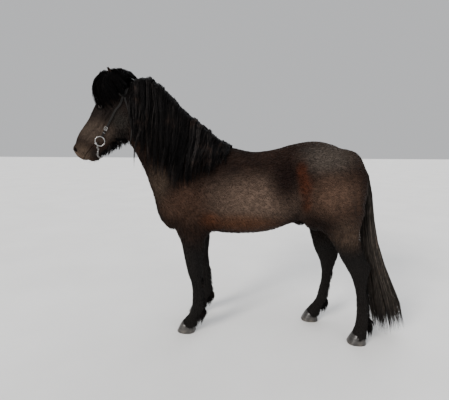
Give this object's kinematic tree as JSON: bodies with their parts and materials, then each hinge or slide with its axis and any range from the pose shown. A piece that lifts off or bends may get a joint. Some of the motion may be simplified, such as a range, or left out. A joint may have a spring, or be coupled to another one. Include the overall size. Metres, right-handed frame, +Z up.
{
  "type": "icelandic horse",
  "caption": "Small, sturdy horse standing square with the head turned slightly aside, in a dark winter coat, with a full mane, forelock and tail and a plain bridle.",
  "frame": {"origin": "on the floor, under the middle of the whole horse, from the muzzle to the tail and from side to side", "axes": "+X towards the tail, +Y to the right of the horse, +Z up"},
  "size_m": [2.4082, 0.5818, 1.9179],
  "materials": {
    "coat": "short winter coat of black-brown hair over skin",
    "long_hair": "coarse black hair in locks",
    "horn": "dark grey horn, dusty at the toe",
    "eye": "wet dark brown eye",
    "strap": "dark oiled leather",
    "steel": "bright worn steel"
  },
  "bodies": {
    "root": {"torso": "coat", "neck": "coat", "head": "coat", "muzzle": "coat", "tail": "long_hair", "ear_left": "coat", "eye_left": "eye", "ear_right": "coat", "eye_right": "eye", "foreleg_left_upper": "coat", "foreleg_left_cannon": "coat", "foreleg_left_pastern": "coat", "hoof_fore_left": "horn", "foreleg_right_upper": "coat", "foreleg_right_cannon": "coat", "foreleg_right_pastern": "coat", "hoof_fore_right": "horn", "hindleg_left_upper": "coat", "hindleg_left_cannon": "coat", "hindleg_left_pastern": "coat", "hoof_hind_left": "horn", "hindleg_right_upper": "coat", "hindleg_right_cannon": "coat", "hindleg_right_pastern": "coat", "hoof_hind_right": "horn", "bridle_crown": "strap", "bridle_browband": "strap", "bridle_throatlatch": "strap", "bridle_cheek_left": "strap", "bridle_buckle_left": "steel", "bit_ring_left": "steel", "bridle_cheek_right": "strap", "bridle_buckle_right": "steel", "bit_ring_right": "steel", "bit_mouthpiece": "steel", "curb_chain": "steel"}
  },
  "joints": []
}
